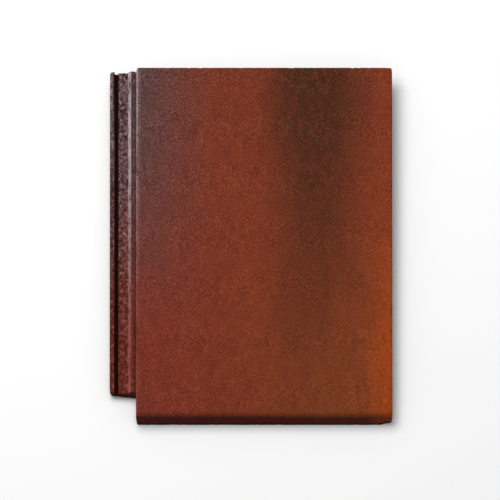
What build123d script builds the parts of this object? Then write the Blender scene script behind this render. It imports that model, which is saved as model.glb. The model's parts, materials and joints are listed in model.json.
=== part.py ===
from build123d import *
from math import atan2, cos, degrees, radians, tan
import os

os.makedirs("parts", exist_ok=True)

# A flat interlocking roof tile, one piece of extruded concrete. While it is drawn,
# X runs across the roof, Y up the slope with the foot of the tail face at 0, and the
# face is at Z = 0. Depths are measured down from the face.

# Overall size and the raked knife cuts at head and tail
tile_length = 420.0
tile_width = 330.0
side_lap = 30.0
cut_lean = 18.3
cut_spare = 15.0
nose_radius = 6.5
left_arris = 1.8
right_arris = 2.0

# Fit between one tile and its neighbour
joint_gap = 0.8
side_gap = 1.2
lap_gap = 1.3

# Underlock, the stepped strip along the left side
outer_rib_width = 5.3
drain_width = 4.5
drain_draft = 0.5
channel_width = 11.5
flank_run = 2.2
crease_width = 1.8
crease_depth = 1.2
ledge_depth = 8.3
rib_depth = 10.4
channel_depth = 12.3
drain_depth = 16.0
lock_edge_depth = 18.7
lock_corner = 3.5
lock_end = 34.5
lock_end_skew = 1.5

# Body and its underside
bearing_depth = 23.0
downstand_inset = 1.2
downstand_draft = 1.0
hollow_depth = 13.5
hollow_count = 4
hollow_draft = 35.0
hollow_corner = 9.0
hollow_floor_round = 3.0
side_rib_width = 11.0
middle_rib_width = 12.0
head_pad = 72.0
tail_pad = 46.0

# Tail foot, with its weather grooves
foot_drop = 1.0
foot_width = 11.0
foot_block = 28.0
foot_draft = 1.2
foot_corner = 3.0
step_run = 8.5
step_slope_run = 5.0
step_rise = 3.4
step_edge_rise = 5.6
groove_radius = 3.2
groove_pitch = 14.0
groove_count = 2
groove_inset = 13.0

# Hanging nibs at the head
nib_drop = 11.0
nib_width = 46.0
nib_thickness = 17.0
nib_pitch = 150.0
nib_setback = 27.0
nib_draft = 6.0
nib_corner = 4.0
nib_edge = 1.5


def rounded_face(corners):
    # a closed outline of (across, depth, corner radius) as one flat face
    face = make_face(Polyline([(x, -depth) for x, depth, _ in corners], close=True))
    for x, depth, radius in corners:
        if radius:
            near = face.vertices().sort_by_distance(Vector(x, -depth, 0))[0]
            face = fillet(near, radius)
    return face


def lean_run(depth):
    # how far a raked cut has moved towards the tail at a depth
    return depth * tan(radians(cut_lean))


# Cross-section through the underlock, the body and the overlock
cover_width = tile_width - side_lap
foot_depth = bearing_depth + foot_drop
nib_tip_depth = bearing_depth + nib_drop
main_edge = side_lap + joint_gap
drain_start = outer_rib_width
channel_start = drain_start + drain_width
channel_end = channel_start + channel_width
ledge_start = channel_end + flank_run
crease_start = main_edge - crease_width
crease_bottom = ledge_depth + crease_depth

body_edge = cover_width - side_gap
lip_depth = ledge_depth - lap_gap
downstand_depth = channel_depth - lap_gap
recess_depth = rib_depth - lap_gap
flank_slope = flank_run / (channel_depth - ledge_depth)
flank_foot = cover_width + channel_end + lap_gap * flank_slope - side_gap
flank_top = flank_foot + (downstand_depth - lip_depth) * flank_slope
downstand_start = cover_width + channel_start + downstand_inset

section = rounded_face(
    [
        (0, rib_depth, 1.0),
        (drain_start, rib_depth, 0.8),
        (drain_start + drain_draft, drain_depth, 1.0),
        (channel_start - drain_draft, drain_depth, 1.0),
        (channel_start, channel_depth, 0.6),
        (channel_end, channel_depth, 0.8),
        (ledge_start, ledge_depth, 0.8),
        (crease_start, ledge_depth, 0.5),
        (crease_start + crease_width / 3, crease_bottom, 0.4),
        (main_edge, crease_bottom, 0.5),
        (main_edge, 0, left_arris),
        (tile_width, 0, right_arris),
        (tile_width, lip_depth, 1.0),
        (flank_top, lip_depth, 1.0),
        (flank_foot, downstand_depth, 1.0),
        (downstand_start, downstand_depth, 0.8),
        (downstand_start - downstand_draft, recess_depth, 0.6),
        (body_edge, recess_depth, 1.2),
        (body_edge, bearing_depth, 1.5),
        (main_edge, bearing_depth, 0),
        (0, lock_edge_depth, lock_corner),
    ]
)
ribbon = extrude(Plane.XZ * section, -tile_length - 2 * cut_spare)
tile = Pos(0, -cut_spare, 0) * ribbon

# Tail block, which closes the overlock underneath and steps up at its right corner
foot = rounded_face(
    [
        (main_edge, recess_depth, 0),
        (main_edge + foot_draft, foot_depth, 0),
        (tile_width - step_run - step_slope_run, foot_depth, 1.0),
        (tile_width - step_run, foot_depth - step_rise, 1.0),
        (tile_width, foot_depth - step_edge_rise, 2.5),
        (tile_width, lip_depth / 2, 0),
        (tile_width / 2, lip_depth / 2, 0),
    ]
)
block = Pos(0, -cut_spare, 0) * extrude(Plane.XZ * foot, -foot_block - cut_spare)
above = Pos(0, 0, -bearing_depth) * Box(
    tile_width, tile_length, bearing_depth, align=(Align.MIN, Align.CENTER, Align.MIN)
)
bar = Pos(0, -cut_spare, 0) * extrude(Plane.XZ * foot, -foot_width - cut_spare)
tile += (block & above) + bar

# Raked cuts at tail and head, the first of which also rounds the nose
below = foot_depth + cut_spare
nose_tangent = nose_radius * tan(radians(45 - cut_lean / 2))
nose_drop = nose_tangent * cos(radians(cut_lean))
nose_top = (lean_run(foot_depth) + nose_tangent, 0)
nose_face = (lean_run(foot_depth - nose_drop), -nose_drop)
tail_outline = [
    Line((nose_top[0], cut_spare), nose_top),
    TangentArc(nose_top, nose_face, tangent=(-1, 0)),
    Polyline(
        nose_face,
        (-lean_run(cut_spare), -below),
        (-2 * cut_spare, -below),
        (-2 * cut_spare, cut_spare),
        (nose_top[0], cut_spare),
    ),
]
tail_waste = make_face(Curve() + tail_outline)
head_waste = rounded_face(
    [
        (tile_length + lean_run(cut_spare), -cut_spare, 0),
        (tile_length - lean_run(below), below, 0),
        (tile_length + 2 * cut_spare, below, 0),
        (tile_length + 2 * cut_spare, -cut_spare, 0),
    ]
)
for waste in (tail_waste, head_waste):
    tile -= Pos(-cut_spare, 0, 0) * extrude(Plane.YZ * waste, tile_width + 2 * cut_spare)

# The underlock stops short of the tail, and leaves a drafted wall with a rounded corner
end_line = lock_end + lean_run(channel_depth)
end_waste = rounded_face(
    [
        (end_line + lean_run(cut_spare), -cut_spare, 0),
        (end_line - lean_run(below), below, 0),
        (-2 * cut_spare, below, 0),
        (-2 * cut_spare, -cut_spare, 0),
    ]
)
wall_waste = rounded_face(
    [
        (main_edge, -cut_spare, 0),
        (main_edge, recess_depth, 0),
        (main_edge + foot_draft, foot_depth, foot_corner),
        (main_edge + 2 * foot_corner, foot_depth, 0),
        (main_edge + 2 * foot_corner, below, 0),
        (-cut_spare, below, 0),
        (-cut_spare, -cut_spare, 0),
    ]
)
end_cut = Pos(-tile_width, 0, 0) * extrude(Plane.YZ * end_waste, 2 * tile_width)
end_cut = Pos(main_edge, 0, 0) * Rot(0, 0, -lock_end_skew) * end_cut
wall_cut = Pos(0, -2 * cut_spare, 0) * extrude(Plane.XZ * wall_waste, -tile_length)
tile -= end_cut & wall_cut

# Transverse weather grooves under the tail
for i in range(groove_count):
    groove = Cylinder(
        groove_radius,
        body_edge - main_edge - 2 * groove_inset,
        rotation=(0, 90, 0),
        align=(Align.CENTER, Align.CENTER, Align.MIN),
    )
    y = foot_width + groove_radius + i * groove_pitch
    tile -= Pos(main_edge + groove_inset, y, -bearing_depth) * groove

# Long hollows between the bearing ribs
hollow_zone = body_edge - main_edge - 2 * side_rib_width
hollow_pitch = (hollow_zone + middle_rib_width) / hollow_count
hollow_length = tile_length - head_pad - tail_pad
for i in range(hollow_count):
    mouth = RectangleRounded(hollow_pitch - middle_rib_width, hollow_length, hollow_corner)
    hollow = extrude(mouth, bearing_depth - hollow_depth, taper=hollow_draft)
    floor = hollow.faces().sort_by(Axis.Z)[-1]
    hollow = fillet(floor.edges(), hollow_floor_round)
    x = main_edge + side_rib_width + (hollow_pitch - middle_rib_width) / 2 + i * hollow_pitch
    tile -= Pos(x, tail_pad + hollow_length / 2, -bearing_depth) * hollow

# Two nibs that hook over the batten
for side_sign in (-1, 1):
    root = RectangleRounded(nib_width, nib_thickness, nib_corner)
    nib = extrude(root, nib_drop, taper=nib_draft)
    tip = nib.faces().sort_by(Axis.Z)[-1]
    nib = fillet(tip.edges(), nib_edge)
    nib += extrude(root, -1.0)
    x = (main_edge + body_edge) / 2 + side_sign * nib_pitch / 2
    y = tile_length - nib_setback + nib_thickness / 2
    tile += Pos(x, y, -bearing_depth) * Rot(180, 0, 0) * nib

# Laid on a level floor it stands on the nib tips and the foot of the tail
tip_edge = tile_length - nib_setback + nib_drop * tan(radians(nib_draft)) + nib_edge
rest_lean = degrees(atan2(nib_tip_depth - foot_depth, tip_edge))
tile = Rot(rest_lean, 0, 0) * tile
box = tile.bounding_box()
tile = Pos(-box.center().X, -box.center().Y, -box.min.Z) * tile

export_step(tile, "parts/roof_tile.step")
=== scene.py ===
# %% [markdown]
# # A flat interlocking concrete roof tile
#
# The real tile is one piece. A ribbon of stiff, red-coloured concrete is pressed onto a
# metal pallet, cut to length with a raked knife, sprayed with pigment while it is damp and
# then cured. The pallet shapes the underside and its nibs, the press roller shapes the
# face and the stepped side lock, and the knife leaves the two end faces.
#
# The solid is measured and finished already, so this lesson keeps its shape and adds what
# a solid can't hold: sand grain that stands up in the side lock, edges that are a little
# nibbled, and the flashed pigment.

import json
import math
from bisect import bisect
from itertools import compress

import bmesh
import bpy
import numpy as np
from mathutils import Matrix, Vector, noise

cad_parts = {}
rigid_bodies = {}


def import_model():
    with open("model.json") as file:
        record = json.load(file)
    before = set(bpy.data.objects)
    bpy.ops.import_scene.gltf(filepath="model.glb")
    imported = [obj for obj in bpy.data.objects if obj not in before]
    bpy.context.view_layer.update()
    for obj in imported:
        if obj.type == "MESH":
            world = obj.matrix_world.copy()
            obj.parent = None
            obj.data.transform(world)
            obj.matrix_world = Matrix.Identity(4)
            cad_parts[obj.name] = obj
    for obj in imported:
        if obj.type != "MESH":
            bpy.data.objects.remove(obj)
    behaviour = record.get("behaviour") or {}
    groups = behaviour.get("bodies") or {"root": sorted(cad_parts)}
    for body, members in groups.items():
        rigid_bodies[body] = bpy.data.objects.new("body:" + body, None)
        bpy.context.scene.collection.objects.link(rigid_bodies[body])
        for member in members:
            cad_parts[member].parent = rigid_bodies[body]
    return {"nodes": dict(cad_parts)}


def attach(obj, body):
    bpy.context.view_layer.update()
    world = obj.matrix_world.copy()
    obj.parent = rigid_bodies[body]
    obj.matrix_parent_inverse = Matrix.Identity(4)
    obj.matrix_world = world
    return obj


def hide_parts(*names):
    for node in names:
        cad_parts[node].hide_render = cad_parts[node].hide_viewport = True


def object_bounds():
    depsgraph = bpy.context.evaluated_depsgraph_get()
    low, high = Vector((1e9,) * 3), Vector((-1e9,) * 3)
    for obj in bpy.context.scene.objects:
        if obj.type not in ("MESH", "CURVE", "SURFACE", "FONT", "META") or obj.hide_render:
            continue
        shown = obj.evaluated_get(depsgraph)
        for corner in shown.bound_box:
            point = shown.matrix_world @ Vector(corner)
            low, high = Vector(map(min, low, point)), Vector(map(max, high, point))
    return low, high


# Blender starts with objects of its own, which would count in the boxes
for leftover in list(bpy.data.objects):
    bpy.data.objects.remove(leftover)
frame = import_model()
cad_box = [list(corner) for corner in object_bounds()]
solid = frame["nodes"]["roof_tile"]
MM = 0.001
print("solid has", len(solid.data.polygons), "faces, box", cad_box)

# %% [markdown]
# ## The tile's own directions
#
# On a level floor the tile stands on its nib tips and on the foot of its tail, so its face
# leans down a little towards the tail. Every later step needs to know which way the face
# points. The face is the largest flat face of the solid, so its normal gives that. From
# here on a place on the tile is given in millimetres in three ways: across from the left
# edge, up the slope from the tail, and in depth below the face.

# %% Find the way the face points
NEARLY_LEVEL = 0.999
LOCK_WIDTH = 30.8  # from the left edge to the step up to the face
areas = np.array([p.area for p in solid.data.polygons])
upwards = np.array([p.normal[2] for p in solid.data.polygons])
level_faces = np.flatnonzero(upwards > NEARLY_LEVEL)
biggest = solid.data.polygons[level_faces[np.argmax(areas[level_faces])]]
OUT = np.array(biggest.normal)
ACROSS = np.array((1.0, 0.0, 0.0))
UPSLOPE = np.cross(OUT, ACROSS)
AXES = np.array((ACROSS, UPSLOPE, -OUT))

corners = np.array([v.co for v in solid.data.vertices]) / MM
ORIGIN = AXES @ np.array(biggest.center) / MM
ORIGIN[:2] = (corners @ AXES.T).min(axis=0)[:2]
TILE_WIDTH, TILE_LENGTH, _ = (corners @ AXES.T).max(axis=0) - ORIGIN
lean = math.degrees(math.atan2(-OUT[1], OUT[2]))
print(f"face leans {lean:.2f} degrees; tile is {TILE_WIDTH:.1f} by {TILE_LENGTH:.1f} mm")

# %% [markdown]
# ## The camera
#
# The picture was taken from very far away with a long lens: the two long edges of the tile
# stay parallel in it, within a pixel. A parallel (orthographic) camera would do, but a real
# lens of 1500 mm gives the same picture, and from 24 m away it still sees the floor all
# round when it is moved down. It looks up the slope from the tail, about ten degrees off
# square to the face, so the dark tail face shows as a narrow band. One pixel covers
# 1.169 mm, and the picture is 500 pixels wide.

# %% Set the camera
PIXEL = 1.169
PICTURE_WIDTH = 500
FACE_VIEW = 79.7
LENS = 1500.0
AIM_LEFT, AIM_BELOW = 1.0, 3.85  # pixels from the middle of the tile
view_height = math.radians(FACE_VIEW - lean)
picture_up = np.array((0.0, math.sin(view_height), math.cos(view_height)))
towards_camera = np.array((0.0, -math.cos(view_height), math.sin(view_height)))
ways = corners @ picture_up, corners @ towards_camera
height, nearness = ((way.min() + way.max()) / 2 for way in ways)
aim = ACROSS * (-AIM_LEFT * PIXEL) + picture_up * (height - AIM_BELOW * PIXEL)
aim += towards_camera * nearness
camera_data = bpy.data.cameras.new("picture_camera")
camera_data.lens = LENS
camera_away = PICTURE_WIDTH * PIXEL * MM * LENS / camera_data.sensor_width
camera = bpy.data.objects.new("picture_camera", camera_data)
camera.location = aim * MM + towards_camera * camera_away
camera.rotation_euler = (math.pi / 2 - view_height, 0.0, 0.0)
bpy.context.scene.collection.objects.link(camera)
bpy.context.scene.camera = camera
print(f"camera is {camera_away:.1f} m away, {math.degrees(view_height):.1f} degrees up")

# %% [markdown]
# ## A finer skin for the tile
#
# The solid's flat faces have no points inside them, so nothing could be raised there. They
# could be subdivided, but that gives long thin slivers. Slicing the faces with evenly
# spaced parallel planes, as an egg slicer does, puts points everywhere, and keeps each
# edge and curve exactly where it was. The side lock is sliced finest, because its sand is
# coarse enough to see as relief. The two knife cuts come next, and the rest is wider.

# %% Take the solid's faces, in the tile's own directions
SAME_POINT = 0.002  # points nearer than this are one point
FLAT = math.radians(0.3)  # faces that meet at less than this are one face
skin = bmesh.new()
skin.from_mesh(solid.data)
bmesh.ops.remove_doubles(skin, verts=skin.verts, dist=SAME_POINT * MM)
bmesh.ops.dissolve_limit(skin, angle_limit=FLAT, verts=skin.verts, edges=skin.edges)
# A plane could cut a notched face into more than two pieces, so those become triangles
notched_faces = [f for f in skin.faces if not all(corner.is_convex for corner in f.loops)]
bmesh.ops.triangulate(skin, faces=notched_faces)
skin.verts.index_update()
points = [list(AXES @ np.array(v.co) / MM - ORIGIN) for v in skin.verts]
faces = [([v.index for v in f.verts], tuple(AXES @ np.array(f.normal))) for f in skin.faces]
skin.free()
print("the solid has", len(faces), "faces and", len(points), "points")


# %% The slicer
ON_PLANE = 0.01  # a point this near to a plane needs no new point beside it
FAR = 1e9  # beyond every plane


def edges_of(outline):
    """The two ends of each edge of an outline."""
    return zip(outline, outline[1:] + outline[:1])


def slice_faces(axis, planes, wanted):
    """Cut the wanted faces where they cross the planes, and mend their neighbours."""
    cuts = {}
    chosen = [wanted(outline, facing) for outline, facing in faces]
    # New points, made once for each edge, where planes cross it
    for outline, _ in compress(faces, chosen):
        for a, b in edges_of(outline):
            low, high = (a, b) if points[a][axis] < points[b][axis] else (b, a)
            start, reach = points[low][axis], points[high][axis] - points[low][axis]
            first = bisect(planes, start + ON_PLANE)
            last = bisect(planes, start + reach - ON_PLANE)
            if first >= last or (low, high) in cuts:
                continue
            cuts[low, high] = []
            for plane in planes[first:last]:
                part = (plane - start) / reach
                spot = [p + (q - p) * part for p, q in zip(points[low], points[high])]
                spot[axis] = plane
                points.append(spot)
                cuts[low, high].append(len(points) - 1)
    # Every face gets its edges' new points, and a wanted one is cut into strips
    sliced = []
    for (outline, facing), is_chosen in zip(faces, chosen):
        full = []
        for a, b in edges_of(outline):
            full.append(a)
            full += cuts.get((a, b), ())
            full += cuts.get((b, a), ())[::-1]
        reach = [points[i][axis] for i in full]
        first = bisect(planes, min(reach) + ON_PLANE)
        last = bisect(planes, max(reach) - ON_PLANE)
        if first >= last or not is_chosen:
            sliced.append((full, facing))
            continue
        limits = [-FAR, *planes[first:last], FAR]
        for low, high in zip(limits, limits[1:]):
            strip = [i for i, r in zip(full, reach) if low - ON_PLANE < r < high + ON_PLANE]
            if len(strip) > 2:
                sliced.append((strip, facing))
    faces[:] = sliced


def planes_between(low, high, count):
    """Planes at the middles of a number of equal steps."""
    return [low + (high - low) * (i + 0.5) / count for i in range(count)]


print("a point within", ON_PLANE, "mm of a plane counts as on it")

# %% How fine each set of planes is
FACE_GAP = 4.2  # mm between planes on the face
FINER = 3  # each finer set has this many times as many planes
COARSE_ROWS = round(TILE_LENGTH / FACE_GAP / FINER)
COARSE_COLUMNS = round((TILE_WIDTH - LOCK_WIDTH) / FACE_GAP / FINER)
LOCK_COLUMNS = round(LOCK_WIDTH * FINER / FACE_GAP)
ROWS = [planes_between(0, TILE_LENGTH, COARSE_ROWS * FINER**i) for i in range(3)]
COLUMNS = [
    planes_between(LOCK_WIDTH, TILE_WIDTH, COARSE_COLUMNS * FINER**i) for i in range(3)
]
LOCK_PLANES = planes_between(0, LOCK_WIDTH, LOCK_COLUMNS)
CUT_DEPTH, CUT_STEPS = 25, 12
CUT_PLANES = planes_between(0, CUT_DEPTH, CUT_STEPS)
print("planes up the slope:", *map(len, ROWS), "and across the lock:", len(LOCK_PLANES))

# %% Slice the skin
# A direction's third number is its depth part: -1 on the face, and 1 underneath
UNDERNEATH, UPPER_SIDE, STEEP = 0.3, -0.5, 0.8
END_REACH = 12  # the knife cuts lie within this of the two ends
IN_LOCK = LOCK_WIDTH + 0.1


def anywhere(outline, facing):
    return True


def not_underneath(outline, facing):
    return facing[2] < UNDERNEATH


def in_lock(outline, facing):
    """The side lock's upper surfaces."""
    return facing[2] < UPPER_SIDE and max(points[i][0] for i in outline) < IN_LOCK


def on_knife_cut(outline, facing):
    """The raked faces at the tail and the head."""
    near_end = not END_REACH < points[outline[0]][1] < TILE_LENGTH - END_REACH
    return near_end and abs(facing[1]) > STEEP


slice_faces(1, ROWS[0], anywhere)
slice_faces(0, COLUMNS[0], anywhere)
slice_faces(1, ROWS[1], not_underneath)
slice_faces(0, COLUMNS[1], not_underneath)
slice_faces(0, COLUMNS[2], on_knife_cut)
slice_faces(2, CUT_PLANES, on_knife_cut)
slice_faces(0, LOCK_PLANES, in_lock)
slice_faces(1, ROWS[2], in_lock)
print("the skin has", len(faces), "faces and", len(points), "points")

# %% Make the tile's mesh from the skin
SHARP = math.radians(35)
mesh = bpy.data.meshes.new("concrete_tile")
mesh.from_pydata(
    (np.array(points) + ORIGIN) @ AXES * MM, [], [outline for outline, _ in faces]
)
work = bmesh.new()
work.from_mesh(mesh)
# A face with many corners can't bend evenly when its points move
bmesh.ops.triangulate(work, faces=[f for f in work.faces if len(f.verts) > 4])
work.normal_update()
# Edges that stand out get worn, and the signed angle of a hollow one is below zero
sharpness = np.zeros(len(points))
for edge in work.edges:
    if edge.calc_face_angle_signed(0) > SHARP:
        for end in edge.verts:
            sharpness[end.index] = 1
normals = np.array([v.normal for v in work.verts]) @ AXES.T
work.to_mesh(mesh)
open_edges = sum(1 for e in work.edges if len(e.link_faces) != 2)
triangles = sum(len(f.verts) - 2 for f in work.faces)
work.free()
print("tile has", triangles, "triangles and", open_edges, "open edges")

# %% [markdown]
# ## Where each kind of surface is
#
# Sand, knife drag and pigment each lie on some parts of the tile only. Those parts could
# be painted onto the mesh by hand. Here each kind of surface is worked out from where a
# point is and which way it faces, as a number from 0 to 1 for each point, so that relief
# and colour agree. A pair of lengths says where a kind begins and where it is whole. Four
# lengths are a strip: where it begins, is whole, begins to fade and is gone.


# %% The side lock and its sand
def ramp(values, start, end):
    """0 before start, 1 after end, and a smooth rise between; start may be the larger."""
    part = np.clip((values - start) / (end - start), 0, 1)
    return part * part * (3 - 2 * part)


def strip_of(values, begins, whole, fades, gone):
    """1 in the middle of a strip, with a smooth rise and fall at its sides."""
    return ramp(values, begins, whole) * ramp(values, gone, fades)


UPWARD = 0.15, 0.6
LOCK_EDGE = LOCK_WIDTH + 0.2, LOCK_WIDTH - 0.6
BAND_EDGE, BAND_SMOOTHNESS = (21.0, 23.0), 0.65
across, upslope, depth = np.array(points).T
outward = -normals[:, 2]
facing_up = ramp(outward, *UPWARD)
lock_top = ramp(across, *LOCK_EDGE) * facing_up
sand = lock_top * (1 - BAND_SMOOTHNESS * ramp(across, *BAND_EDGE))
print("sand covers", int((sand > 0.5).sum()), "points")

# %% The knife cuts
LOCK_END = 34.5
CUT_STEEPNESS = 0.5, 0.8
CUT_TOP, CUT_TOP_DROP, DROP_RIGHTWARDS = (2.5, 6.0), 1.2, (150, 290)
MAIN_ENDS = 14, 10
LOCK_SIDE = LOCK_WIDTH + 1, LOCK_WIDTH - 1
LOCK_TAIL = LOCK_END + 10, LOCK_END + 6
LESS_CUT_COLOUR = ((120, 260), 0.08), ((298, 316), 0.5)  # less of the cut's dark colour across these spans, by these shares
end_distance = np.minimum(upslope, TILE_LENGTH - upslope)
cut_top = CUT_TOP_DROP * ramp(across, *DROP_RIGHTWARDS)
cut_face = ramp(np.abs(normals[:, 1]), *CUT_STEEPNESS) * ramp(depth - cut_top, *CUT_TOP)
at_lock_tail = ramp(across, *LOCK_SIDE) * ramp(upslope, *LOCK_TAIL)
cut_face *= np.maximum(ramp(end_distance, *MAIN_ENDS), at_lock_tail)
cut_face *= 1 - sum(share * ramp(across, *where) for where, share in LESS_CUT_COLOUR)
print("the knife cuts cover", int((cut_face > 0.5).sum()), "points")

# %% Painted shade in the drain, on the rib's flank, along the foot's edge and at the lock's end
DRAIN, DRAIN_TOP = (4.6, 5.3, 9.8, 10.5), (10.9, 12.4)
RIB_FLANK, RIB_FLANK_HEAD = (2.6, 5.0, 7.0, 8.0), (300, 400)
FOOT_EDGE, FOOT_STEP, FOOT_STEP_AT = (20.4, 21.8), 4.0, (314, 322)
SHADOW_SIDE, SHADOW_END = (LOCK_WIDTH + 2, LOCK_WIDTH), (24, 28)
SHADOW_DEPTH, SHADOW_CORNER = (13.5, 15.5), (18, 25)
drain_shade = strip_of(across, *DRAIN) * ramp(depth, *DRAIN_TOP)
# Painted shade on the rib's flank near the head
rib_flank_shade = strip_of(across, *RIB_FLANK) * ramp(upslope, *RIB_FLANK_HEAD) * facing_up
foot_step = FOOT_STEP * ramp(across, *FOOT_STEP_AT)
# A line of painted shade along the foot's lower edge at the tail
foot_edge_shade = ramp(depth + foot_step, *FOOT_EDGE) * ramp(upslope, *MAIN_ENDS)
lock_shadow = cut_face * ramp(across, *SHADOW_SIDE) * ramp(end_distance, *SHADOW_END)
lock_shadow *= np.maximum(ramp(depth, *SHADOW_DEPTH), ramp(across, *SHADOW_CORNER))
deep = np.maximum.reduce([drain_shade, rib_flank_shade, foot_edge_shade, lock_shadow])
print("deep places cover", int((deep > 0.5).sum()), "points")

# %% Painted shade in the lock towards the tail, and a darker band towards the head
RIB_EDGE, RIB_TAIL_SHADE, RIB_TAILWARDS = (6.5, 5.0), 0.25, (400, 280)
LOCK_TAIL_SHADE, LOCK_TAILWARDS, BAND_ARRIS_GAP = 0.22, (230, 90), (20, 21, 25, 26)
BAND_FLAT, BAND_DULLNESS, BAND_HEADWARDS = (24.2, 25.4, 28.2, 29.2), 0.28, (90, 230)
rib = ramp(across, *RIB_EDGE) * lock_top
rib_tail_shade = RIB_TAIL_SHADE * rib * ramp(upslope, *RIB_TAILWARDS)
lock_tail_shade = LOCK_TAIL_SHADE * (lock_top - rib) * ramp(upslope, *LOCK_TAILWARDS)
lock_tail_shade *= 1 - strip_of(across, *BAND_ARRIS_GAP)
dull_band = BAND_DULLNESS * lock_top * strip_of(across, *BAND_FLAT)
dull_band *= ramp(upslope, *BAND_HEADWARDS)
# All the painted shade, with the band's darkening, goes into one mask
dark = np.maximum(deep, rib_tail_shade + lock_tail_shade + dull_band)
print(f"the lock is dulled by up to {(rib_tail_shade + lock_tail_shade + dull_band).max():.2f}")

# %% Rubbed edges with painted highlights, and the side that was sprayed
MAIN_ARRIS = LOCK_WIDTH - 0.5, LOCK_WIDTH, 31.8, 33.4
MAIN_ARRIS_DEPTH, MAIN_ARRIS_HEADWARDS = (2.5, 0.8), (200, 380)
MAIN_ARRIS_LEAST, MAIN_ARRIS_SHARE = 0.65, 0.55
BAND_ARRIS, BAND_ARRIS_UPWARD, BAND_ARRIS_DEPTH = (20.8, 21.6, 23.8, 24.8), (0.1, 0.4), 14
RIB_SHARE, RIB_HEADWARDS = 0.1, (300, 400)
SPRAYED_UPWARD = -0.1, 0.5
main_arris = strip_of(across, *MAIN_ARRIS) * ramp(depth, *MAIN_ARRIS_DEPTH)
# The main edge's painted highlight is strongest towards the head
headwards = ramp(upslope, *MAIN_ARRIS_HEADWARDS)
main_arris *= MAIN_ARRIS_LEAST + (1 - MAIN_ARRIS_LEAST) * headwards
# The band's edge faces the light: a painted highlight, in rubbed patches
band_arris = strip_of(across, *BAND_ARRIS) * ramp(outward, *BAND_ARRIS_UPWARD)
band_arris *= depth < BAND_ARRIS_DEPTH
# A painted highlight along the rib near the head, in rubbed patches
rib_rub_and_highlight = RIB_SHARE * rib * ramp(upslope, *RIB_HEADWARDS)
# Rubbed edges, with a painted highlight on them
arris = np.maximum.reduce([MAIN_ARRIS_SHARE * main_arris, band_arris, rib_rub_and_highlight])
sprayed = ramp(outward, *SPRAYED_UPWARD)
print("rubbed edges cover", int((arris > 0.5).sum()), "points")

# %% [markdown]
# ## Sand, knife drag and worn edges
#
# Up close the tile isn't smooth. The roller presses the face quite flat, but in the side
# lock the mix is squeezed thin and its coarse sand stands out. The knife drags grains
# down the two end faces, and thin edges lose grains when tiles are stacked. All of this
# could be painted as bump, but then outlines and shadows would stay perfectly smooth. So
# each point of the skin is moved in or out a little, by seeded noise whose grain is as
# wide as the sand: about 3 mm, counting the clumps.

# %% Raise the sand, drag the cuts and wear the edges
SEED_SHIFT = 17.3, 5.1, 9.7


def grain(places, size, seed):
    """Seeded noise from -1 to 1 whose grains are about a size wide, in millimetres."""
    shift = Vector([step * seed for step in SEED_SHIFT])
    wide = np.array(places) / size
    return np.array([noise.noise(Vector(p) + shift) for p in wide])


SAND_RELIEF, SAND_GRAIN, SMALL_SAND = 0.8, 3.4, 0.5
CUT_RELIEF, DRAG_GRAIN, DRAG, CUT_LUMP = 0.35, 2.6, (1.0, 1.0, 0.3), 7.0
FACE_RELIEF, FACE_GRAIN = 0.05, 6.0
EDGE_WEAR, STEADY_WEAR, WORN_TO_DEPTH = 0.5, 0.12, (30, 20)
CHIP_SIZE, CHIP_LEVEL, CHIP_DEPTH = 4.0, 0.15, 2
spots = np.array(points)
lift = sand * SAND_RELIEF * grain(spots, SAND_GRAIN, seed=1)
lift += sand * SMALL_SAND * SAND_RELIEF * grain(spots, SAND_GRAIN / 2, seed=2)
lift += cut_face * CUT_RELIEF * grain(spots * DRAG, DRAG_GRAIN, seed=3)
lift += cut_face * CUT_RELIEF * grain(spots, CUT_LUMP, seed=4)
lift += FACE_RELIEF * grain(spots, FACE_GRAIN, seed=5) * (1 - sand) * (1 - cut_face)
chipped = np.clip(grain(spots, CHIP_SIZE, seed=6) - CHIP_LEVEL, 0, None) * CHIP_DEPTH
worn = EDGE_WEAR * (STEADY_WEAR + chipped) * ramp(depth, *WORN_TO_DEPTH)
lift -= sharpness * worn
shaped = spots + normals * lift[:, None]
print(f"points moved by {lift.min():.2f} to {lift.max():.2f} mm")

# %% [markdown]
# The solid's plan corners are square, and a fresh-cut tile's are not: the wet concrete
# rounds off as the knife and the press let go. A bevel would need the corner's edges to be
# unbroken, and they are finely sliced by now. Pulling each point near a corner in to the
# rounding needs no edges.

# %% Round the upright corners
CORNER, LOCK_CORNER = 3.0, 4.5
RAKE = math.tan(math.radians(18.3))  # both ends are cut this far off square
FOOT_DEPTH, CHANNEL_DEPTH = 24.0, 12.3
LOCK_SKEW = 0.8  # the lock ends this much further up at its left edge
STRAY = 1.0  # the furthest that relief may stand out and still be pulled in
TINY = 1e-6  # keeps the division below from meeting a zero


def round_corner(places, side, inwards, end, upwards, radius):
    """Pull points near an upright corner in to a rounding; the end is raked."""
    x, y, down = places.T
    from_side = inwards * (x - side)
    from_end = upwards * (y - end + down * RAKE)
    lesser, greater = np.minimum(from_side, from_end), np.maximum(from_side, from_end)
    near = (lesser > -STRAY) & (greater < radius)
    reach = np.hypot(radius - from_side, radius - from_end)
    pull = np.where(near & (reach > radius), radius / np.maximum(reach, TINY), 1.0)
    rounded = places.copy()
    rounded[:, 0] += inwards * (radius - from_side) * (1 - pull)
    rounded[:, 1] += upwards * (radius - from_end) * (1 - pull)
    return rounded


tail_line = FOOT_DEPTH * RAKE
lock_line = LOCK_END + CHANNEL_DEPTH * RAKE + LOCK_SKEW
for side, inwards, end, upwards, radius in (
    (LOCK_WIDTH, 1, TILE_LENGTH, -1, CORNER),
    (TILE_WIDTH, -1, TILE_LENGTH, -1, CORNER),
    (TILE_WIDTH, -1, tail_line, 1, CORNER),
    (0, 1, TILE_LENGTH, -1, CORNER),
    (0, 1, lock_line, 1, LOCK_CORNER),
):
    shaped = round_corner(shaped, side, inwards, end, upwards, radius)
moved = np.clip((shaped + ORIGIN) @ AXES * MM, *np.array(cad_box))
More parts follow.
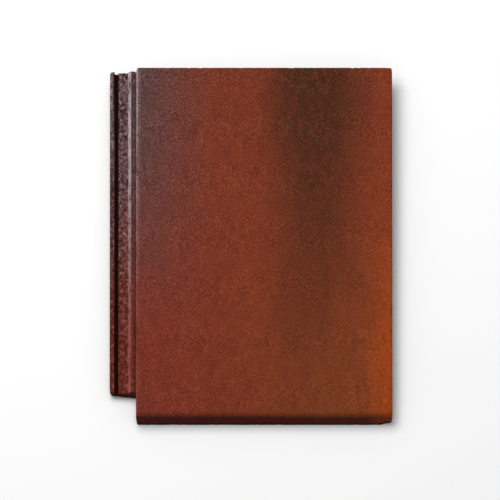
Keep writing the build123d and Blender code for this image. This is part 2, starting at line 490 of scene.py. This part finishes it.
# Edges are marked sharp before the points move, so that raised grains stay soft
mesh.set_sharp_from_angle(angle=SHARP)
mesh.vertices.foreach_set("co", moved.ravel())
mesh.polygons.foreach_set("use_smooth", [True] * len(mesh.polygons))
mesh.update()
print("corners are rounded to", CORNER, "mm, and the lock's to", LOCK_CORNER, "mm")

# %% Make the piece, and store its kinds of surface for the material
KINDS = {"sand": sand, "dark": dark, "arris": arris, "sprayed": sprayed, "cut": cut_face}
for name, values in KINDS.items():
    layer = mesh.attributes.new(name, "FLOAT", "POINT")
    layer.data.foreach_set("value", values.astype(np.float32))
tile = bpy.data.objects.new("concrete_tile", mesh)
bpy.context.scene.collection.objects.link(tile)
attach(tile, "root")
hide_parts("roof_tile")
print("the tile carries", [a.name for a in mesh.attributes if a.data_type == "FLOAT"])

# %% [markdown]
# ## The concrete and its flashed colour
#
# This is iron-oxide pigmented concrete: cement, sand and pigment, pressed while stiff. To
# the eye it is fully opaque and nearly matt, with a faint sheen from the thin sealer, so
# its index of refraction is about 1.5 and its roughness about 0.7. Its pores swallow most
# of the reflection, so the specular level is far below the usual 0.5. The face is flashed:
# before the tile is cured, darker and brighter oxides are sprayed on in long soft bands
# that run up the slope. It could be one image, but bands described by their middle, their
# width and where they fade stay sharp at any size, and noise bends them a little.


# %% Colours as they are written
def colour(hex_code):
    """A linear colour from an sRGB hex code."""
    channels = [int(hex_code[i : i + 2], 16) / 255 for i in (0, 2, 4)]
    linear = [c / 12.92 if c <= 0.04045 else ((c + 0.055) / 1.055) ** 2.4 for c in channels]
    return (*linear, 1.0)


BRICK_RED = colour("74301a")
print("brick red in linear light is", [round(channel, 3) for channel in BRICK_RED])


# %% One helper that adds a node
def output_of(node):
    """A node's first output that is in use."""
    return next(output for output in node.outputs if output.enabled)


def add(kind, inputs=(), **settings):
    """Add a node; an input is a value, or the node or the socket that it is linked from."""
    node = nodes.new("ShaderNode" + kind)
    for name, value in settings.items():
        setattr(node, name, value)
    for name, value in dict(inputs).items():
        if isinstance(value, bpy.types.Node):
            value = output_of(value)
        if isinstance(value, bpy.types.NodeSocket):
            links.new(value, node.inputs[name])
        else:
            node.inputs[name].default_value = value
    return node


concrete = bpy.data.materials.new("pigmented_concrete")
concrete.use_nodes = True
nodes, links = concrete.node_tree.nodes, concrete.node_tree.links
object_place = add("TexCoord").outputs["Object"]
masks = {name: add("Attribute", attribute_name=name).outputs["Fac"] for name in KINDS}
print("material", concrete.name, "reads", list(masks))

# %% [markdown]
# The patterns of concrete are all grains of some size, so one kind of noise draws them
# all. Real sand grains are half a millimetre wide, less than half a pixel, so the finest
# speckle is drawn three times as wide, to show at all. Sand clumps and rubbed spots have
# their real size. The two widest patterns only bend the sprayed bands. Air holes are round
# and apart from each other, so they come from a cell pattern instead.

# %% Patterns, by the width of their grains
PATTERNS = {
    # width in mm, times as long up the slope, detail, roughness
    "sway": (70, 3.0, 2.0, 0.5),
    "drift": (45, 1.5, 2.0, 0.5),
    "cement": (34, 1.0, 5.0, 0.6),
    "clouds": (16, 2.0, 3.0, 0.5),
    "clumps": (7.0, 1.6, 2.0, 0.5),
    "rub": (5.0, 3.0, 2.0, 0.5),
    "grains": (3.3, 1.3, 3.0, 0.6),
    "fine": (1.6, 1.0, 1.0, 0.6),
}
patterns = {}
for name, (width, stretch, detail, roughness) in PATTERNS.items():
    size = 1 / (width * MM)
    place = add("Mapping", {"Vector": object_place, "Scale": (size, size / stretch, size)})
    inputs = {"Vector": place, "Scale": 1.0, "Detail": detail, "Roughness": roughness}
    patterns[name] = add("TexNoise", inputs)
AIR_HOLE_GAP = 7.0
air_holes = add("TexVoronoi", {"Vector": object_place, "Scale": 1 / (AIR_HOLE_GAP * MM)})
print("patterns:", *patterns, "and air holes")

# %% [markdown]
# A spray band is told by how far across and how far up the slope a point is, in
# millimetres from the middle of the tile. The wide patterns first push that place about by
# a centimetre or two, so the bands waver as a spray does.

# %% A place that wavers
PUSH_ACROSS, PUSH_UPSLOPE = 40, 80
x_place, y_place, _ = add("SeparateXYZ", {0: object_place}).outputs
wavering = []
for straight, push, reach in (
    (x_place, patterns["sway"], PUSH_ACROSS),
    (y_place, patterns["drift"], PUSH_UPSLOPE),
):
    level = add("Math", {0: straight, 1: 1 / MM, 2: -reach / 2}, operation="MULTIPLY_ADD")
    inputs = {0: push, 1: reach, 2: level}
    wavering.append(add("Math", inputs, operation="MULTIPLY_ADD"))
place_across, place_upslope = wavering
print("bands are pushed by up to", PUSH_ACROSS / 2, "and", PUSH_UPSLOPE / 2, "mm")

# %% Where each coat lies, and how thickly
FADES = {
    # what is measured; its value where the fade starts and where it ends (mm from the
    # middle, or a pattern's level from 0 to 1); how thick the coat is at each
    "warm_side": (place_across, -60, 150, 0, 1),
    "warm_tail": (place_upslope, 100, -190, 0, 1),
    "margin": (place_across, 126, 166, 0, 1),
    "margin_tail": (place_upslope, 100, -190, 0.2, 0.95),
    "streak_left": (place_across, 4, 62, 0, 1),
    "streak_right": (place_across, 160, 84, 0, 1),
    "streak_head": (place_upslope, -230, 190, 0.12, 0.92),
    # These three: grey bloom at the head, partly pigment and partly painted sheen
    "bloom_and_sheen_side": (place_across, -30, -150, 0, 1),
    "bloom_and_sheen_head": (place_upslope, -150, 190, 0, 0.85),
    "lock_bloom_and_sheen_head": (place_upslope, -70, 190, 0, 0.7),
    "paste": (patterns["grains"], 0.52, 0.4, 0, 1),
    "paste_head": (place_upslope, -150, 190, 0.55, 0.95),
    "pale": (patterns["grains"], 0.54, 0.66, 0, 1),
    "pale_head": (place_upslope, -150, 190, 0.3, 0.6),
    # Rubbed patches on the edges, with the painted highlight on them grey at the head and
    # red at the tail
    "rub": (patterns["rub"], 0.2, 0.55, 0, 1),
    "rub_and_highlight_head": (place_upslope, -150, 190, 0.05, 0.95),
    "rub_and_highlight_tail": (place_upslope, 120, -120, 0, 0.45),
    "cement": (patterns["cement"], 0.4, 0.8, 0, 0.9),
    "hole": (air_holes, 0.16, 0.08, 0, 0.7),
    # Bright grains with a painted glint, most at the head on the left
    "bright_grain": (patterns["fine"], 0.5, 0.7, 0, 1),
    "glint_left": (place_across, 20, -120, 0.05, 0.12),
    "glint_head": (place_upslope, -150, 190, 0.4, 1),
    "crimson": (place_across, 0, -140, 0, 0.6),
    "mottle": (patterns["clumps"], 0.35, 0.6, 0.65, 1),
    "dusk": (place_upslope, 0, 190, 0, 0.12),
}
for name, (measured, start, end, first, second) in FADES.items():
    inputs = {0: measured, 1: start, 2: end, 3: first, 4: second}
    masks[name] = add("MapRange", inputs, interpolation_type="SMOOTHSTEP")


def lay_coats(surface, coats):
    """Lay coats over a surface in turn; a coat is as thick as its masks multiplied."""
    for pigment, *where in coats:
        thickness = masks[where[0]]
        for name in where[1:]:
            thickness = add("Math", {0: thickness, 1: masks[name]}, operation="MULTIPLY")
        surface = add("Mix", {0: thickness, 6: surface, 7: pigment}, data_type="RGBA")
    return surface


print(len(masks), "masks for the coats")

# %% [markdown]
# The face is brick red, more crimson on the left, warmer towards the tail and a little
# duller towards the head. It has an orange margin on the right, a charcoal streak right of
# the middle and a grey bloom at the head on the left, which is partly pigment and partly a
# painted sheen. In the side lock the same oxides lie on bare coarse sand: grains that stick
# out are paler, the paste between them is dark, and the bloom and painted sheen reach
# further. Handled edges are rubbed pale, and carry a painted highlight, strongest towards
# the head.

# %% The flashed face
WARM_RED, ORANGE, CRIMSON = colour("7a3a1c"), colour("963e10"), colour("722a20")
# The blooms here are partly pigment and partly painted sheen
CHARCOAL, GREY_BLOOM_AND_SHEEN, LOCK_BLOOM_AND_SHEEN = colour("3a1f10"), colour("443a3a"), colour("685056")
DARK_PASTE, PALE_GRAIN = colour("32100c"), colour("a88084")
# Rubbed edges, pale from wear and from painted highlight
RUBBED_RED_HIGHLIGHT, RUBBED_GREY_HIGHLIGHT = colour("a85a56"), colour("c4b2b6")
face = lay_coats(
    BRICK_RED,
    [
        (WARM_RED, "warm_side", "warm_tail"),
        (ORANGE, "margin", "margin_tail"),
        (CHARCOAL, "streak_left", "streak_right", "streak_head", "mottle"),
        (CHARCOAL, "dusk"),
        (CRIMSON, "crimson"),
        # Bloom and painted sheen at the head, on the face and in the lock
        (GREY_BLOOM_AND_SHEEN, "bloom_and_sheen_side", "bloom_and_sheen_head"),
        (LOCK_BLOOM_AND_SHEEN, "sand", "lock_bloom_and_sheen_head"),
        (DARK_PASTE, "sand", "paste", "paste_head"),
        (PALE_GRAIN, "sand", "pale", "pale_head"),
        # Rubbed edges with painted highlight, grey towards the head
        (RUBBED_RED_HIGHLIGHT, "arris", "rub", "rub_and_highlight_tail"),
        (RUBBED_GREY_HIGHLIGHT, "arris", "rub", "rub_and_highlight_head"),
    ],
)
print("the face is flashed, and the material has", len(nodes), "nodes")

# %% [markdown]
# Underneath and on the knife cuts the concrete shows as it was mixed: a duller brown-red,
# with pale cement bloom in patches and small air holes. The cuts are darker still. Single
# grains of sand speckle everything, and a few bright quartz grains, with a painted glint,
# break through the spray. Last comes painted shade in the deep places, such as the narrow
# drain, and in the lock towards the tail.

# %% Raw concrete, knife cuts, grains over everything, and deep places
RAW_RED, CEMENT_BLOOM, HOLE_BROWN = colour("6e3f30"), colour("8f6a5b"), colour("2c140d")
# The deepest brown here is painted shade, and the quartz colour a painted glint on bright
# grains
CUT_RED, QUARTZ_GLINT, SHADE_BROWN = colour("4e1408"), colour("b09a92"), colour("1c0602")
SPECKLES = ("fine", 1.6), ("clumps", 0.5), ("clouds", 0.4)  # a pattern and its contrast
SPECKLE_LEVEL = 1.008  # how bright speckles leave it where noise is a half
raw = lay_coats(RAW_RED, [(CEMENT_BLOOM, "cement"), (HOLE_BROWN, "hole")])
body = lay_coats(raw, [(face, "sprayed"), (CUT_RED, "cut")])
tone = 1.0
for name, contrast in SPECKLES:
    inputs = {0: patterns[name], 1: contrast, 2: SPECKLE_LEVEL - contrast / 2}
    swing = add("Math", inputs, operation="MULTIPLY_ADD")
    tone = add("Math", {0: tone, 1: swing}, operation="MULTIPLY")
speckled = add("VectorMath", {0: body, 1: tone}, operation="MULTIPLY")
# Painted glints on bright grains, then painted shade
finished = lay_coats(
    speckled,
    [(QUARTZ_GLINT, "bright_grain", "glint_left", "glint_head", "sprayed"), (SHADE_BROWN, "dark")],
)
print("the colour takes", len(nodes), "nodes")

# %% Sheen and small relief
SMOOTHEST = 0.58  # roughness where nothing adds to it
REFRACTION, SPECULAR_LEVEL = 1.5, 0.06
unsprayed = add("Math", {0: 1.0, 1: masks["sprayed"]}, operation="SUBTRACT")
open_hole = add("Math", {0: unsprayed, 1: masks["hole"]}, operation="MULTIPLY")
sandy_grain = add("Math", {0: masks["sand"], 1: patterns["grains"]}, operation="MULTIPLY")
sheen = SMOOTHEST
for share, amount in ((patterns["fine"], 0.2), (masks["sand"], 0.08), (unsprayed, 0.15)):
    sheen = add("Math", {0: share, 1: amount, 2: sheen}, operation="MULTIPLY_ADD")
grit = 0.0
for share, height_mm in (
    (patterns["fine"], 0.35),
    (patterns["clumps"], 0.1),
    (sandy_grain, 1.0),
    (open_hole, -0.7),
):
    grit = add("Math", {0: share, 1: height_mm, 2: grit}, operation="MULTIPLY_ADD")
relief = add("Bump", {"Height": grit, "Distance": MM, "Strength": 1.0})
shader = nodes["Principled BSDF"]
shader.inputs["IOR"].default_value = REFRACTION
shader.inputs["Specular IOR Level"].default_value = SPECULAR_LEVEL
for name, source in (("Base Color", finished), ("Roughness", sheen), ("Normal", relief)):
    links.new(output_of(source), shader.inputs[name])
mesh.materials.append(concrete)
print("pigmented concrete has", len(nodes), "nodes")

# %% [markdown]
# ## Floor, backdrop and light
#
# A tile is photographed on white. The floor is white to the camera, and pale grey to the
# light that bounces off it, or else it would light the tail face from below as a mirror
# would. One large softbox stands at the upper left, towards the head, and a dim sky fills
# the shadows. Together they light a level face with about as much as its colour says.

# %% Floor
FLOOR_HALF = 30.0
FLOOR_SEEN, FLOOR_BOUNCED = colour("fcfcfc"), colour("a0a0a0")
FLOOR_ROUGHNESS, FLOOR_SPECULAR = 0.9, 0.2
floor_mesh = bpy.data.meshes.new("studio_floor")
floor_corners = [(x, y, 0) for x, y in ((-1, -1), (1, -1), (1, 1), (-1, 1))]
floor_mesh.from_pydata((np.array(floor_corners) * FLOOR_HALF).tolist(), [], [(0, 1, 2, 3)])
floor = bpy.data.objects.new("studio_floor", floor_mesh)
bpy.context.scene.collection.objects.link(floor)

paint = bpy.data.materials.new("white_floor_paint")
paint.use_nodes = True
nodes, links = paint.node_tree.nodes, paint.node_tree.links
rays = add("LightPath").outputs
seen = 0.0
for kind in ("Camera", "Glossy", "Transmission"):
    ray = rays[f"Is {kind} Ray"]
    seen = add("Math", {0: seen, 1: ray}, operation="ADD", use_clamp=True)
inputs = {0: seen, 6: FLOOR_BOUNCED, 7: FLOOR_SEEN}
floor_colour = add("Mix", inputs, data_type="RGBA")
floor_shader = nodes["Principled BSDF"]
links.new(output_of(floor_colour), floor_shader.inputs["Base Color"])
floor_shader.inputs["Roughness"].default_value = FLOOR_ROUGHNESS
floor_shader.inputs["Specular IOR Level"].default_value = FLOOR_SPECULAR
floor_mesh.materials.append(paint)
print("floor is", 2 * FLOOR_HALF, "m wide")

# %% Sky and softbox
SKY_WHITE, SKY_STRENGTH = colour("ffffff"), 0.42
SOFTBOX_SIDE, SOFTBOX_WATTS, SOFTBOX_PLACE = 1.3, 39.0, (-0.45, 0.85, 2.05)
world = bpy.data.worlds.new("pale_sky")
world.use_nodes = True
backdrop = world.node_tree.nodes["Background"]
backdrop.inputs["Color"].default_value = SKY_WHITE
backdrop.inputs["Strength"].default_value = SKY_STRENGTH
bpy.context.scene.world = world

softbox_data = bpy.data.lights.new("softbox", "AREA")
softbox_data.size = SOFTBOX_SIDE
softbox_data.energy = SOFTBOX_WATTS
softbox = bpy.data.objects.new("softbox", softbox_data)
softbox.location = SOFTBOX_PLACE
softbox.rotation_euler = softbox.location.to_track_quat("Z", "Y").to_euler()
bpy.context.scene.collection.objects.link(softbox)
bpy.context.scene.view_settings.view_transform = "Standard"
print("softbox", SOFTBOX_WATTS, "W at", SOFTBOX_PLACE)
